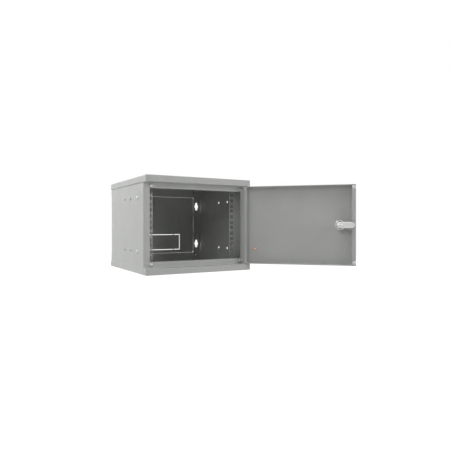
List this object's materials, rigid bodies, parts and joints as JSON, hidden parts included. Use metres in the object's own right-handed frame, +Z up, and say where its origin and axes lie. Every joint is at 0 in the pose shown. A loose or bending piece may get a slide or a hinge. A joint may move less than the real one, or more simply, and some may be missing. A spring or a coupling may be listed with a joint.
{
  "type": "wall mount network cabinet",
  "caption": "Shallow steel wall cabinet for 10 inch rack gear: folded covers and side panels, square-holed rack rails, keyhole hangers and a hinged, locking door.",
  "frame": {"origin": "centre of the underside of the bottom cover", "axes": "+Z up; +Y towards the wall; the door is on the -Y side and is hinged at the +X side"},
  "size_m": [0.4893, 0.5043, 0.24],
  "materials": {
    "powder_coat": "light grey powder coat with a fine orange-peel texture",
    "zinc_plate": "bright zinc plate",
    "lock_metal": "satin nickel plate on a die casting",
    "rivet_metal": "plain aluminium",
    "copper_plate": "copper plate on a welded steel stud",
    "white_rubber": "white, smooth",
    "nylon": "natural white nylon"
  },
  "bodies": {
    "cabinet": {"top_cover": "powder_coat", "bottom_cover": "powder_coat", "top_front_rail": "powder_coat", "bottom_front_rail": "powder_coat", "top_rear_rail": "powder_coat", "bottom_rear_rail": "powder_coat", "left_side_panel": "powder_coat", "right_side_panel": "powder_coat", "back_panel": "powder_coat", "left_rack_rail": "powder_coat", "right_rack_rail": "powder_coat", "front_frame_screws": "zinc_plate", "front_frame_nuts": "zinc_plate", "rear_frame_screws": "zinc_plate", "rear_frame_nuts": "zinc_plate", "rack_rail_screws": "zinc_plate", "rack_rail_nuts": "zinc_plate", "back_panel_rivets": "rivet_metal", "lower_hinge_pin": "zinc_plate", "upper_hinge_pin": "zinc_plate"},
    "door": {"door_panel": "powder_coat", "lower_hinge_bush": "nylon", "upper_hinge_bush": "nylon", "lock_housing": "lock_metal", "lock_nut": "zinc_plate", "door_buffers": "white_rubber", "ground_stud": "copper_plate"},
    "lock_rotor": {"lock_plug": "lock_metal", "lock_cam": "zinc_plate", "lock_cam_washer": "zinc_plate", "lock_cam_screw": "zinc_plate"}
  },
  "joints": [
    {"name": "door_hinge", "type": "hinge", "parent": "cabinet", "child": "door", "pos_m": [0.1385, -0.1441, 0.12], "axis": [0, 0, 1], "range_deg": [-135.28, 44.72]},
    {"name": "lock_turn", "type": "hinge", "parent": "door", "child": "lock_rotor", "pos_m": [0.31496, -0.31125, 0.12], "axis": [-0.7036, -0.7106, 0], "range_deg": [0, 90]}
  ]
}
